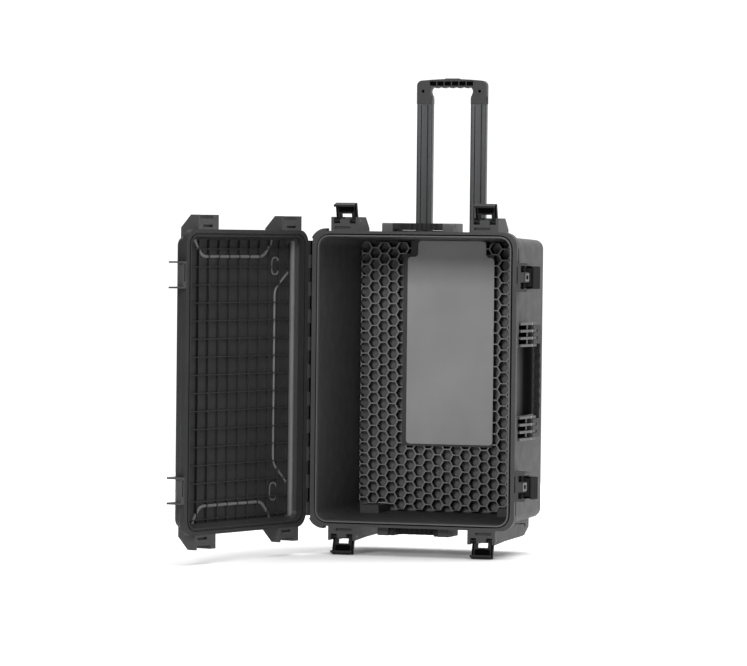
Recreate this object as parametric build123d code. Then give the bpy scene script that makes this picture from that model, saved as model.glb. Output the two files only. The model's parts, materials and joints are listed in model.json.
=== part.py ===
"""Wheeled hard carrying case for a drone: open lid, six lever latches, three handles, trolley.

The case is modelled lying on its back: X runs across the width, Y along the height, and Z from
the back plate (0) up to the rim. Every node is then stood up, so that +Z is up, -Y is the side
of the opening, and the origin is the centre of the flat cover on the back.
"""
import os
from math import atan, degrees

from build123d import *

# Driving dimensions, in millimetres
FLANGE_W = 424.0
FLANGE_H = 590.0
FLANGE_R = 28.0
BASE_FLANGE = 22.0
LID_FLANGE = 12.0
RIM = 272.0
BACK_SKIN = 5.0
WALL = 4.0
OPENING_W = 394.0
OPENING_H = 566.0
OPENING_R = 20.0
DRAFT = 6.5
RIB_HEIGHT = 20.0
CELL_RIB = 2.4
RIB = 2.0
CELL_PITCH = 22.75

LID_DEPTH = 38.0
LID_OPEN = 105.0
LID_SLOPE = 9.0
GRID_PITCH = 35.0
GRID_SHIFT_X = -13.0
GRID_SHIFT_Y = 12.0

HINGE_X = -FLANGE_W / 2 - 8.0
HINGE_Z = RIM + 8.0
KNUCKLE_R = 6.0
KNUCKLE_LENGTH = 27.0
KNUCKLE_PITCH = 55.0
KNUCKLES = 10

BOSS_OUT = 28.0
BOSS_WIDTH = 57.0
BOSS_DEPTH = 74.0
CHEEK = 5.7
WIDE_CHEEK = 12.0
THIN_CHEEK = 3.2
LATCH_OFFSET_X = 145.0
LATCH_OFFSET_Y = 207.0
LEVER_WIDTH = 43.6
END_LEVER_OPEN = 75.0
SIDE_LEVER_OPEN = 60.0
SIDE_LATCH_IN = 7.0
PIVOT_U = 20.0
PIVOT_V = -14.0
TRIGGER_U = 25.9
TRIGGER_V = 5.3
PIN_R = 2.5
FIT = 0.05

TUBE_X = 57.0
TUBE_W = 33.0
TUBE_D = 16.0
TUBE_Z = 15.0
SLEEVE_WALL = 1.6
SLIDE_GAP = 0.3
GRIP_TOP = 607.0
GRIP_W = 147.0
WELL_HALF = 92.0
NECK_HALF = 76.0
WELL_BOTTOM = -138.0
NECK_BOTTOM = 246.0

FLOOR = -FLANGE_H / 2 - BOSS_OUT
WHEEL_R = 27.0
WHEEL_W = 24.0
WHEEL_X = LATCH_OFFSET_X
WHEEL_Z = 52.0
HOUSING_TOP = FLOOR + 2 * WHEEL_R + 7.0
HOUSING_DEPTH = 90.0
HOUSING_HALF = 20.0

BRACKET_IN = 52.0
BRACKET_OUT = 74.0
END_HANDLE_PIVOT = 34.0
END_HANDLE_REACH = 52.0
SIDE_HANDLE_HALF = 111.6
SIDE_HANDLE_PIVOT = 88.0
SIDE_HANDLE_REACH = 58.0
EAR_X = (114.5, 100.2, 85.9, 71.5)
EAR_W = 5.0

BODY_W = OPENING_W + 2 * WALL
BODY_H = OPENING_H + 2 * WALL
BODY_R = OPENING_R + WALL
END_STEP = (FLANGE_H - BODY_H) / 2
SIDE_STEP = (FLANGE_W - BODY_W) / 2
BODY_DEPTH = RIM - BACK_SKIN
CELL_FLOOR = BACK_SKIN + WALL
RIB_TOP = CELL_FLOOR + RIB_HEIGHT
TAPER = degrees(atan(DRAFT / BODY_DEPTH))


# ---------------------------------------------------------------- helpers
def block(x0, x1, y0, y1, z0, z1):
    """A box given by its six faces."""
    return Pos((x0 + x1) / 2, (y0 + y1) / 2, (z0 + z1) / 2) * Box(x1 - x0, y1 - y0, z1 - z0)


def slab(width, height, radius, z0, z1):
    """A flat plate with rounded corners, between two heights."""
    return Pos(0, 0, z0) * extrude(RectangleRounded(width, height, radius), z1 - z0)


def tub(width, height, radius, z_top, depth):
    """A rounded block that narrows with the wall's draft from its top down."""
    top = Plane(origin=(0, 0, z_top), x_dir=(1, 0, 0), z_dir=(0, 0, -1))
    return extrude(top * RectangleRounded(width, height, radius), depth, taper=TAPER)


def rod_x(x0, x1, y, z, radius):
    """A round bar along X."""
    return Pos((x0 + x1) / 2, y, z) * Rot(0, 90, 0) * Cylinder(radius, x1 - x0)


def rod_y(y0, y1, x, z, radius):
    """A round bar along Y."""
    return Pos(x, (y0 + y1) / 2, z) * Rot(90, 0, 0) * Cylinder(radius, y1 - y0)


def rod_z(z0, z1, x, y, radius):
    """A round bar along Z."""
    return Pos(x, y, (z0 + z1) / 2) * Cylinder(radius, z1 - z0)


def soften(part, radius, keep):
    """Fillet the edges that keep picks."""
    return fillet(part.edges().filter_by(keep), radius)


def profile(points, half_width):
    """A solid from an outline of (out, up) points, as wide as two half widths along X."""
    face = Plane.YZ * make_face(Polyline(*points, close=True))
    return extrude(face, half_width, both=True)


STAND = Rot(90, 0, 0)
LID_POSE = Pos(HINGE_X, 0, HINGE_Z) * Rot(0, -LID_OPEN, 0) * Pos(-HINGE_X, 0, -HINGE_Z)


# ---------------------------------------------------------------- base
def wheel_cavity(side, grow):
    """The corner block that a wheel housing takes out of the tub."""
    x0 = side * (WHEEL_X - HOUSING_HALF - grow)
    x1 = side * (WHEEL_X + HOUSING_HALF + grow)
    return block(min(x0, x1), max(x0, x1), -300, HOUSING_TOP + grow, 0, HOUSING_DEPTH + grow)


def well(grow, z0, z1, y_top):
    """The trolley well: a wide lower part and a narrower neck that runs out of the top."""
    wide = block(-WELL_HALF - grow, WELL_HALF + grow, WELL_BOTTOM - grow, NECK_BOTTOM + grow, z0, z1)
    neck = block(-NECK_HALF - grow, NECK_HALF + grow, NECK_BOTTOM - grow, y_top, z0, z1)
    return wide + neck


def base_shell():
    """The deep tub, with the trolley well and the wheel corners let into it."""
    outer = tub(BODY_W, BODY_H, BODY_R, RIM - BASE_FLANGE, BODY_DEPTH - BASE_FLANGE)
    outer = fillet(outer.faces().sort_by(Axis.Z)[0].edges(), 12)
    inner_w = OPENING_W - 2 * DRAFT * BASE_FLANGE / BODY_DEPTH
    inner_h = OPENING_H - 2 * DRAFT * BASE_FLANGE / BODY_DEPTH
    inner = tub(inner_w, inner_h, OPENING_R, RIM - BASE_FLANGE, RIM - BASE_FLANGE - CELL_FLOOR)
    inner = fillet(inner.faces().sort_by(Axis.Z)[0].edges(), 3.5)
    shell = outer - inner
    shell += well(4, BACK_SKIN + 1, RIB_TOP, OPENING_H / 2 - 4)
    shell -= well(0, -1, RIB_TOP - 3.8, BODY_H / 2 + 5)
    for side in (-1, 1):
        shell -= wheel_cavity(side, 0)
    for side in (-1, 1):
        rail = block(-18, 18, -200, 200, 0, BACK_SKIN + 1)
        shell += Pos(side * 135, 0, 0) * soften(rail, 3, Axis.Z)
    for x, y in cover_screw_places():
        shell -= rod_z(BACK_SKIN - 1, 7, x, y, 2.0)
    return shell


def cell_outline(x, y):
    """One honeycomb cell, with its flats at top and bottom."""
    side = (CELL_PITCH - CELL_RIB) / 3 ** 0.5
    return Pos(x, y) * RegularPolygon(side, 6)


def honeycomb():
    """Moulded hexagonal stiffening ribs over the tub's floor, around the smooth well wall."""
    inset = DRAFT * (RIM - RIB_TOP) / BODY_DEPTH + 4.5
    half_w = OPENING_W / 2 - inset
    half_h = OPENING_H / 2 - inset
    sheet = RectangleRounded(2 * half_w, 2 * half_h, 14)
    step_x = CELL_PITCH * 3 ** 0.5 / 2
    columns = int(half_w / step_x) + 1
    rows = int(half_h / CELL_PITCH) + 1
    cells = []
    for column in range(-columns, columns + 1):
        shift = 0 if column % 2 == 0 else CELL_PITCH / 2
        for row in range(-rows, rows + 1):
            x = column * step_x
            y = row * CELL_PITCH + shift
            cells.append(cell_outline(x, y))
    web = sheet - cells
    ribs = Pos(0, 0, CELL_FLOOR + 0.2) * extrude(web, RIB_HEIGHT - 0.2)
    ribs -= well(4.2, 0, RIB_TOP + 5, OPENING_H / 2 + 5)
    for side in (-1, 1):
        ribs -= wheel_cavity(side, 0.2)
    return ribs


def hinge_knuckle(y0, x0, x1, z0, z1):
    """One hinge knuckle: a barrel on the hinge line, and the web that ties it to its side."""
    y1 = y0 + KNUCKLE_LENGTH
    barrel = rod_y(y0, y1, HINGE_X, HINGE_Z, KNUCKLE_R)
    return barrel + block(x0, x1, y0, y1, z0, z1)


def knuckle_start(index):
    """Where a pair of knuckles starts along the hinge."""
    return (index - KNUCKLES / 2) * KNUCKLE_PITCH + 0.2


def flange_marks():
    """The shallow scoop behind the side handle and the four slots in the flange's side face."""
    edge = FLANGE_W / 2
    low = RIM - BASE_FLANGE - 1
    points = [(edge + 1, -74), (edge - 3, -66), (edge - 3, 66), (edge + 1, 74)]
    marks = Pos(0, 0, low) * extrude(make_face(Polyline(*points, close=True)), BASE_FLANGE - 5)
    for side in (-1, 1):
        for y, length, z in ((84, 22, RIM - 15), (247, 34, RIM - 12)):
            marks += Pos(edge, side * y, z) * Box(2, length, 5)
    return marks


def base_rim():
    """The thick flange round the opening, its tongue, corner guards, hinge rail and knuckles."""
    ring = slab(FLANGE_W, FLANGE_H, FLANGE_R, RIM - BASE_FLANGE, RIM)
    ring = fillet(ring.faces().sort_by(Axis.Z)[0].edges(), 3)
    tongue = slab(OPENING_W + 8, OPENING_H + 8, OPENING_R + 4, RIM - 1, RIM + 2.5)
    tongue -= slab(OPENING_W + 2, OPENING_H + 2, OPENING_R + 1, RIM, RIM + 3)
    guards = slab(FLANGE_W + 10, FLANGE_H + 10, FLANGE_R + 5, RIM - 20, RIM)
    corner = Pos(-FLANGE_W / 2, FLANGE_H / 2, RIM) * Box(56, 56, 60)
    guards = guards & (corner + mirror(corner, Plane.XZ))
    guards = guards - block(HINGE_X - 20, -FLANGE_W / 2 + 0.1, -280, 280, 0, RIM + 5)
    ring = ring + tongue + guards - flange_marks()
    ring -= tub(OPENING_W, OPENING_H, OPENING_R, RIM + 2.5, BASE_FLANGE + 10)
    ring += block(HINGE_X - KNUCKLE_R, -FLANGE_W / 2 + 1, -275, 275, RIM - 16, RIM)
    for index in range(KNUCKLES):
        start = knuckle_start(index)
        ring += hinge_knuckle(start, HINGE_X - KNUCKLE_R, HINGE_X + KNUCKLE_R, RIM - 1, HINGE_Z)
    return ring - rod_y(-290, 290, HINGE_X, HINGE_Z, PIN_R)


def hinge_pin():
    """The long steel pin through all the knuckles."""
    first = knuckle_start(0)
    last = knuckle_start(KNUCKLES - 1) + 2 * KNUCKLE_LENGTH + 0.4
    return rod_y(first, last, HINGE_X, HINGE_Z, PIN_R)


# ---------------------------------------------------------------- latches, in (across, out, up)
def latch_places():
    """Name and placement of each latch: X along its width, Y out of the flange, Z up."""
    side_x = FLANGE_W / 2 - SIDE_LATCH_IN
    half_h = FLANGE_H / 2
    return {
        "top_left": Pos(-LATCH_OFFSET_X, half_h, RIM),
        "top_right": Pos(LATCH_OFFSET_X, half_h, RIM),
        "bottom_left": Pos(-LATCH_OFFSET_X, -half_h, RIM) * Rot(0, 0, 180),
        "bottom_right": Pos(LATCH_OFFSET_X, -half_h, RIM) * Rot(0, 0, 180),
        "side_upper": Pos(side_x, LATCH_OFFSET_Y, RIM) * Rot(0, 0, -90),
        "side_lower": Pos(side_x, -LATCH_OFFSET_Y, RIM) * Rot(0, 0, -90),
    }


def latch_boss(outline, to_wall, flange):
    """The moulded block that carries a latch pin, with slots for the lever's two arms."""
    half = BOSS_WIDTH / 2
    boss = profile([(-to_wall, 0)] + outline + [(-to_wall, -BOSS_DEPTH)], half)
    boss -= block(-half + CHEEK, half - CHEEK, 15, BOSS_OUT + 1, -33, 1)
    tongue = block(-10, 10, 13, 24, -33.5, 0)
    boss += soften(tongue, 2.5, Axis.X)
    boss -= block(-21, 12, 4, 9, -5, 1)
    boss -= block(-half - 1, half + 1, -20, flange + 0.05, -BASE_FLANGE - 0.05, 1)
    return boss - rod_x(-half - 1, half + 1, PIVOT_U, PIVOT_V, PIN_R)


def latch_pin():
    """The pin that a lever turns on."""
    half = BOSS_WIDTH / 2
    return rod_x(-half + 0.5, half - 0.5, PIVOT_U, PIVOT_V, PIN_R)


def end_keeper(hinge_side):
    """The lid's block for an end latch; its cheek towards the hinge is wide and square."""
    half = BOSS_WIDTH / 2
    keeper = profile([(-20, 0.1), (BOSS_OUT, 0.1), (BOSS_OUT, 18), (3, 41), (-20, 41)], half)
    keeper -= block(-half + CHEEK, half - CHEEK, 20.5, BOSS_OUT + 1, -1, 42)
    keeper -= block(-half + CHEEK, half - CHEEK, 7, BOSS_OUT + 1, 16, 28.5)
    wide = (WIDE_CHEEK + CHEEK) / 2
    cheek = profile([(-20, 0.1), (BOSS_OUT, 0.1), (BOSS_OUT, 34), (18, 41), (-20, 41)], wide)
    keeper += Pos(hinge_side * (half + WIDE_CHEEK - wide), 0, 0) * cheek
    return keeper - block(-21, 12, 4, 9, -2, 6)


def side_keeper():
    """The lid's hook for a side latch: a low block between two thin, long cheeks."""
    inside = BOSS_WIDTH / 2 - CHEEK
    keeper = profile([(-20, 0.1), (17, 0.1), (17, 12), (12, 16), (-20, 16)], inside + 1)
    for side in (-1, 1):
        cheek = profile([(-20, 0.1), (26, 0.1), (28, 27), (14, 36), (-20, 36)], THIN_CHEEK / 2)
        keeper += Pos(side * (inside + THIN_CHEEK / 2), 0, 0) * cheek
    return keeper - block(-21, 12, 10, 14, -2, 4)


def lid_outside():
    """The space the lid itself takes up, which its keepers stand round."""
    dome = lid_hull(BODY_W, BODY_H, BODY_R, RIM + LID_FLANGE, LID_DEPTH - LID_FLANGE, LID_SLOPE, 9)
    return dome + slab(FLANGE_W, FLANGE_H, FLANGE_R, RIM - 1, RIM + LID_FLANGE)


def latch_lever():
    """The lever: two arms round a window, a thick grip plate and the claw under its end."""
    half = LEVER_WIDTH / 2
    plate = block(-half, half, 21.5, 28.5, -17, 22)
    plate = fillet(plate.edges().filter_by(Axis.X).sort_by(Axis.Y)[-2:], 2.5)
    claw = block(-half, half, 9, 22, 17.5, 22)
    claw = soften(claw, 1.5, Axis.X)
    barrel = rod_x(-half, half, PIVOT_U, PIVOT_V, 4.6)
    lever = plate + claw + barrel
    lever -= block(-10.6, 10.6, 0, 30, -30, 0.5)
    lever -= block(-9.6, 9.6, 21, 30, 2.9, 17)
    lever -= rod_x(-half - 1, half + 1, PIVOT_U, PIVOT_V, PIN_R + FIT)
    lever -= rod_x(-13, 13, TRIGGER_U, TRIGGER_V, 1.0)
    for side in (-1, 1):
        lever -= rod_x(side * 15.5 - 3.5, side * 15.5 + 3.5, 29.7, 17, 2)
    return lever


def latch_trigger():
    """The release plate set into the lever, which is pressed before the lever lifts."""
    plate = block(-9.2, 9.2, 25.1, 28.8, TRIGGER_V, 16.6)
    knuckle = rod_x(-9.2, 9.2, TRIGGER_U, TRIGGER_V, 2.0)
    trigger = plate + knuckle
    for step in range(3):
        trigger -= rod_x(-7, 7, 29.4, 8.5 + 3 * step, 1)
    return trigger - rod_x(-10, 10, TRIGGER_U, TRIGGER_V, 1.0 + FIT)


def trigger_pin():
    """The small pin of the release plate."""
    return rod_x(-12.5, 12.5, TRIGGER_U, TRIGGER_V, 1.0)


def open_lever(part, angle):
    """Swing a piece of the closed lever out to where the lever stands open."""
    swing = Pos(0, PIVOT_U, PIVOT_V) * Rot(-angle, 0, 0) * Pos(0, -PIVOT_U, -PIVOT_V)
    return swing * part


# ---------------------------------------------------------------- lid
def lid_hull(width, height, radius, z0, depth, slope, edge):
    """The lid's shallow dome: sides that lean in, and a rounded edge."""
    angle = degrees(atan(slope / depth))
    dome = extrude(Pos(0, 0, z0) * RectangleRounded(width, height, radius), depth, taper=angle)
    return fillet(dome.faces().sort_by(Axis.Z)[-1].edges(), edge)


def lid_shell():
    """The lid's skin, from its flange to its outer face."""
    deep = LID_DEPTH - LID_FLANGE
    outer = lid_hull(BODY_W, BODY_H, BODY_R, RIM + LID_FLANGE, deep, LID_SLOPE, 9)
    inner = lid_hull(OPENING_W, OPENING_H, OPENING_R, RIM + LID_FLANGE - 0.01, deep - 3.5, LID_SLOPE, 6)
    shell = outer - inner
    for x in (-92, 92):
        rail = Pos(x, 0, 0) * slab(60, 420, 10, RIM + LID_DEPTH - 1, RIM + LID_DEPTH + 2)
        shell += rail
    return shell


def lid_rim():
    """The lid's flange, its gasket groove and its hinge knuckles."""
    ring = slab(FLANGE_W, FLANGE_H, FLANGE_R, RIM + 0.1, RIM + LID_FLANGE)
    ring = fillet(ring.faces().sort_by(Axis.Z)[-1].edges(), 3)
    ring -= slab(OPENING_W - 4, OPENING_H - 4, OPENING_R - 2, RIM - 1, RIM + LID_FLANGE + 1)
    groove = slab(OPENING_W + 9, OPENING_H + 9, OPENING_R + 4.5, RIM - 1, RIM + 7)
    ring -= groove - slab(OPENING_W + 1, OPENING_H + 1, OPENING_R + 0.5, RIM - 2, RIM + 8)
    for index in range(KNUCKLES):
        start = knuckle_start(index) + KNUCKLE_LENGTH + 0.4
        low = HINGE_Z - KNUCKLE_R + 1
        ring += hinge_knuckle(start, HINGE_X, -FLANGE_W / 2 + 1, low, RIM + LID_FLANGE - 1)
    return ring - rod_y(-290, 290, HINGE_X, HINGE_Z, PIN_R + FIT)


def lid_gasket():
    """The rubber seal at the bottom of the lid's groove."""
    ring = slab(OPENING_W + 8.6, OPENING_H + 8.6, OPENING_R + 4.3, RIM + 3.2, RIM + 7)
    return ring - slab(OPENING_W + 1.4, OPENING_H + 1.4, OPENING_R + 0.7, RIM, RIM + 8)


def lid_rib_grid():
    """Low square stiffening ribs moulded inside the lid, from wall to wall."""
    deep = LID_DEPTH - LID_FLANGE
    inner = lid_hull(OPENING_W, OPENING_H, OPENING_R, RIM + LID_FLANGE - 0.01, deep - 3.5, LID_SLOPE, 6)
    web = Pos(GRID_SHIFT_X - 5 * GRID_PITCH, 0) * Rectangle(RIB, OPENING_H)
    for index in range(-4, 7):
        web += Pos(GRID_SHIFT_X + index * GRID_PITCH, 0) * Rectangle(RIB, OPENING_H)
    for index in range(-8, 8):
        web += Pos(0, GRID_SHIFT_Y + index * GRID_PITCH) * Rectangle(OPENING_W, RIB)
    return Pos(0, 0, RIM + LID_DEPTH - 8.5) * extrude(web, 4.9) & inner


# ---------------------------------------------------------------- carry handles
def scallops(count, pitch, radius, z):
    """The finger grooves of a handle, side by side along the grip."""
    rods = None
    for index in range(count):
        x = (index - (count - 1) / 2) * pitch
        rod = Pos(x, 0, z) * Rot(90, 0, 0) * Cylinder(radius, 30)
        rods = rod if rods is None else rods + rod
    return rods


def handle_frame(half, inner, thick, reach, grip, corner):
    """A folding handle in (along, out, back): two arms from the pins and a grip bar."""
    points = [(-half, 6), (-half, -reach + 14), (-half + 14, -reach), (half - 14, -reach),
              (half, -reach + 14), (half, 6)]
    body = extrude(Plane.XZ * make_face(Polyline(*points, close=True)), thick / 2, both=True)
    body = fillet(body.edges().filter_by(Axis.X), 3)
    hole = block(-inner, inner, -20, 20, -reach + grip, 20)
    return body - soften(hole, corner, Axis.Y)


def end_handle():
    """The handle on the top or the bottom, between its two solid brackets."""
    half = BRACKET_IN - 0.4
    body = handle_frame(half, half - 10, 14, END_HANDLE_REACH, 18, 6)
    body -= scallops(4, 20, 8, -END_HANDLE_REACH + 22)
    return body - rod_x(-half - 1, half + 1, 0, 0, PIN_R + FIT)


def side_handle():
    """The long handle; each arm ends in three prongs that sit between the ears."""
    half = SIDE_HANDLE_HALF
    body = handle_frame(half, EAR_X[3] + 2.9, 12, SIDE_HANDLE_REACH, 15, 0.8)
    body -= scallops(6, 20, 8, -SIDE_HANDLE_REACH + 19)
    for x in EAR_X[1:3]:
        for side in (-1, 1):
            body -= block(side * x - 2.9, side * x + 2.9, -20, 20, -25.5, 20)
    return body - rod_x(-half - 1, half + 1, 0, 0, PIN_R + FIT)


def end_bracket(to_wall):
    """The two moulded blocks that hold an end handle's pins, and the ledge the grip rests on."""
    front = END_HANDLE_PIVOT - BASE_FLANGE - 0.1
    right = block(BRACKET_IN, BRACKET_OUT, -to_wall, 7, -56, front)
    right = fillet(right.edges().filter_by(Axis.X).sort_by(Axis.Y)[-2:], 3)
    ears = right + mirror(right, Plane.YZ)
    ears += block(-BRACKET_IN - 1, BRACKET_IN + 1, -to_wall, -7.4, -56, -44)
    return ears - rod_x(-BRACKET_OUT - 1, BRACKET_OUT + 1, 0, 0, PIN_R)


def side_bracket(to_wall):
    """The four long ears at each end of the side handle, on a foot against the wall."""
    front = SIDE_HANDLE_PIVOT - BASE_FLANGE - 3
    outline = [(-to_wall, front), (-4, front), (4.5, -24), (-to_wall - 2, -24)]
    ears = None
    for x in EAR_X:
        ear = Pos(x, 0, 0) * profile(outline, EAR_W / 2)
        ears = ear if ears is None else ears + ear
    ears += mirror(ears, Plane.YZ)
    return ears - rod_x(-120, 120, 0, 0, PIN_R)


def end_handle_pins():
    """The two short pins of an end handle."""
    half = BRACKET_OUT - 4
    right = rod_x(BRACKET_IN - 9.5, half, 0, 0, PIN_R)
    return right + mirror(right, Plane.YZ)


def side_handle_pins():
    """The two pins through the ears and prongs of the side handle."""
    right = rod_x(EAR_X[3] - 2, EAR_X[0] + 2, 0, 0, PIN_R)
    return right + mirror(right, Plane.YZ)


def save_handles():
    """Make and place the three carry handles with their brackets and pins."""
    out_y = FLANGE_H / 2 + 10
    to_end = out_y - BODY_H / 2 - 0.1
    end_z = RIM - END_HANDLE_PIVOT
    out_x = FLANGE_W / 2 + 7
    to_side = out_x - BODY_W / 2 - 0.1
    side_z = RIM - SIDE_HANDLE_PIVOT
    ends = {"top": Pos(0, out_y, end_z), "bottom": Pos(-3, -out_y, end_z) * Rot(0, 0, 180)}
    for name, place in ends.items():
        save(f"carry_handle_{name}", place * end_handle())
        save(f"handle_brackets_{name}", place * end_bracket(to_end))
        save(f"handle_pins_{name}", place * end_handle_pins())
    place = Pos(out_x, 0, side_z) * Rot(0, 0, -90)
    save("carry_handle_side", place * side_handle())
    save("handle_brackets_side", place * side_bracket(to_side))
    save("handle_pins_side", place * side_handle_pins())


# ---------------------------------------------------------------- trolley
def sleeve(side):
    """The fixed outer channel that one trolley tube runs in."""
    width = TUBE_W + 2 * SLIDE_GAP
    depth = TUBE_D + 2 * SLIDE_GAP
    outer = RectangleRounded(width + 2 * SLEEVE_WALL, depth + 2 * SLEEVE_WALL, 4)
    inner = RectangleRounded(width, depth, 3)
    tube = extrude(outer - inner, 380)
    return Pos(side * TUBE_X, 245, TUBE_Z) * Rot(90, 0, 0) * tube


def trolley_tube(side):
    """One sliding aluminium tube, with a groove down each broad face."""
    section = RectangleRounded(TUBE_W, TUBE_D, 3) - RectangleRounded(TUBE_W - 3.6, TUBE_D - 3.6, 1.5)
    for face in (-1, 1):
        section -= Pos(0, face * TUBE_D / 2) * Rectangle(15, 1.6)
    tube = extrude(section, 372)
    return Pos(side * TUBE_X, 572, TUBE_Z) * Rot(90, 0, 0) * tube


def grip_body():
    """The outline of the trolley grip: a bar and two legs that cap the tubes."""
    half = GRIP_W / 2
    outer = block(-half, half, 558, GRIP_TOP, TUBE_Z - 9.5, TUBE_Z + 9.5)
    outer = fillet(outer.edges().filter_by(Axis.Z).sort_by(Axis.Y)[-2:], 12)
    points = [(-41, 550), (-42, 570), (-45, 587), (45, 587), (42, 570), (41, 550)]
    hole = extrude(make_face(Polyline(*points, close=True)), 40)
    body = outer - hole
    for index in range(6):
        x = (index - 2.5) * 12.5
        body -= rod_z(0, 40, x, 587, 4.2)
    for side in (-1, 1):
        socket = Pos(side * TUBE_X, 557.2, TUBE_Z) * Box(TUBE_W + 0.2, 30, TUBE_D + 0.2)
        body -= socket
    body -= block(-66, 66, 592, 600, TUBE_Z - 4, TUBE_Z + 4)
    body -= block(-15.3, 15.3, 594, GRIP_TOP + 1, TUBE_Z - 5.3, TUBE_Z + 5.3)
    for side in (-1, 1):
        body -= rod_y(560, 595, side * TUBE_X, TUBE_Z, 2.6)
        body -= rod_z(0, 40, side * 66, 582, 2.2)
    return body


def grip_half(front):
    """One of the two screwed halves of the trolley grip."""
    z0, z1 = (TUBE_Z + 0.05, 60) if front else (-60, TUBE_Z - 0.05)
    return grip_body() & block(-200, 200, 500, 700, z0, z1)


def grip_screws():
    """The two screws that clamp the grip halves together."""
    screws = None
    for side in (-1, 1):
        shank = rod_z(TUBE_Z - 8, TUBE_Z + 9, side * 66, 582, 2.2)
        screws = shank if screws is None else screws + shank
    return screws


def release_button():
    """The push button in the middle of the grip."""
    cap = block(-15, 15, 598, GRIP_TOP + 1.5, TUBE_Z - 5, TUBE_Z + 5)
    return fillet(cap.edges().group_by(Axis.Y)[-1], 1.2)


def release_linkage():
    """The cross bar under the button and the two rods that run down the tubes."""
    bar = block(-62, 62, 595.9, 597.9, TUBE_Z - 3, TUBE_Z + 3)
    for side in (-1, 1):
        bar += rod_y(215, 596, side * TUBE_X, TUBE_Z, 2.2)
        bar += block(side * TUBE_X - 9, side * TUBE_X + 9, 206, 216, TUBE_Z - 4, TUBE_Z + 4)
    return bar


def tube_foot(side):
    """The plastic end block at the foot of a tube, which carries its lock bolt."""
    foot = Pos(side * TUBE_X, 200, TUBE_Z) * Rot(90, 0, 0) * extrude(RectangleRounded(31, 14, 3), 14)
    return foot


def guide_collar():
    """The collar at the mouth of the well that the tubes slide through."""
    collar = block(-NECK_HALF + 0.2, NECK_HALF - 0.2, 247, 261, BACK_SKIN + 0.2, RIB_TOP - 4)
    for side in (-1, 1):
        collar -= Pos(side * TUBE_X, 254, TUBE_Z) * Box(TUBE_W + 0.6, 40, TUBE_D + 0.6)
    return collar


def trolley_cover():
    """The flat screwed cover that closes the well on the back of the case."""
    plate = slab(204, 400, 8, 0, 4.6)
    plate = Pos(0, 48, 0) * plate
    for x, y in cover_screw_places():
        plate -= rod_z(-1, 6, x, y, 2.0)
        plate -= rod_z(-1, 1.4, x, y, 4.2)
    return plate


def cover_screw_places():
    """Where the cover's screws sit."""
    return [(x, 48 + y) for x in (-98, 98) for y in (-190, -63, 63, 190)]


def cover_screws():
    """The screws of the back cover."""
    screws = None
    for x, y in cover_screw_places():
        screw = rod_z(0.2, 1.4, x, y, 4.1) + rod_z(1.3, 7, x, y, 2.0)
        screws = screw if screws is None else screws + screw
    return screws


# ---------------------------------------------------------------- wheels
def wheel_housing(side):
    """The skid under the tub that runs back from an end latch and carries a wheel at its rear."""
    x = side * WHEEL_X
    half = BOSS_WIDTH / 2
    wall = BODY_H / 2 + 0.1
    front = RIM - BOSS_DEPTH - 0.1
    outline = [(-wall + 1.3, front), (FLOOR + 3.5, front), (FLOOR + 6, 70), (FLOOR + 7, 55),
               (FLOOR + 23, 22), (-wall + 5.5, 22)]
    skid = Pos(x, 0, 0) * profile(outline, half)
    skid -= block(x - half + 4, x + half - 4, FLOOR + 10, -200, HOUSING_DEPTH + 6, front - 6)
    inside = HOUSING_HALF - 0.2
    box = block(x - inside, x + inside, -wall - 6, HOUSING_TOP - 0.2, 22, HOUSING_DEPTH - 0.2)
    box += block(x - inside, x + inside, -wall + 6, HOUSING_TOP - 0.2, BACK_SKIN + 3, 23)
    gap = WHEEL_W / 2 + 2
    slot = block(x - gap, x + gap, FLOOR - 5, HOUSING_TOP - 5, -1, WHEEL_Z + WHEEL_R + 4)
    return skid + box - slot - rod_x(x - 30, x + 30, FLOOR + WHEEL_R, WHEEL_Z, 4)


def wheel(side):
    """A solid wheel with a hollowed face and a rounded tread."""
    x = side * WHEEL_X
    hub = Pos(x, FLOOR + WHEEL_R, WHEEL_Z) * Rot(0, 90, 0)
    disc = fillet(Cylinder(WHEEL_R, WHEEL_W).edges(), 3)
    for face in (-1, 1):
        recess = Cylinder(WHEEL_R - 8, 5) - Cylinder(8, 5)
        disc -= Pos(0, 0, face * WHEEL_W / 2) * recess
    return hub * (disc - Cylinder(4 + FIT, WHEEL_W + 2))


def wheel_axle(side):
    """The steel axle of one wheel."""
    x = side * WHEEL_X
    return rod_x(x - 27, x + 27, FLOOR + WHEEL_R, WHEEL_Z, 4)


# ---------------------------------------------------------------- export
def save_latches():
    """Make and place the six latches, their bosses and the lid's keepers."""
    short = [(BOSS_OUT, 0), (BOSS_OUT, -50), (6, -BOSS_DEPTH)]
    long = [(BOSS_OUT, 0), (BOSS_OUT - 3.5, -BOSS_DEPTH)]
    bosses, pins, keepers = [], [], []
    for name, place in latch_places().items():
        if "side" in name:
            boss = latch_boss(short, SIDE_STEP - SIDE_LATCH_IN - 0.1, SIDE_LATCH_IN)
            keeper = side_keeper()
            angle = SIDE_LEVER_OPEN
        else:
            boss = latch_boss(long if "bottom" in name else short, END_STEP - 0.1, 0)
            keeper = end_keeper(1 if "bottom" in name else -1)
            angle = END_LEVER_OPEN
        bosses.append(place * boss)
        pins.append(place * latch_pin())
        keepers.append(place * keeper - lid_outside())
        save(f"latch_lever_{name}", place * open_lever(latch_lever(), angle))
        save(f"latch_trigger_{name}", place * open_lever(latch_trigger(), angle))
        save(f"trigger_pin_{name}", place * open_lever(trigger_pin(), angle))
    save("latch_bosses", Compound(children=bosses))
    save("latch_pins", Compound(children=pins))
    save("lid_keepers", Compound(children=keepers), LID_POSE)


def save(name, part, pose=None):
    """Stand a finished node up and write it."""
    part = part if pose is None else pose * part
    export_step(STAND * part, f"parts/{name}.step")


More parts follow.
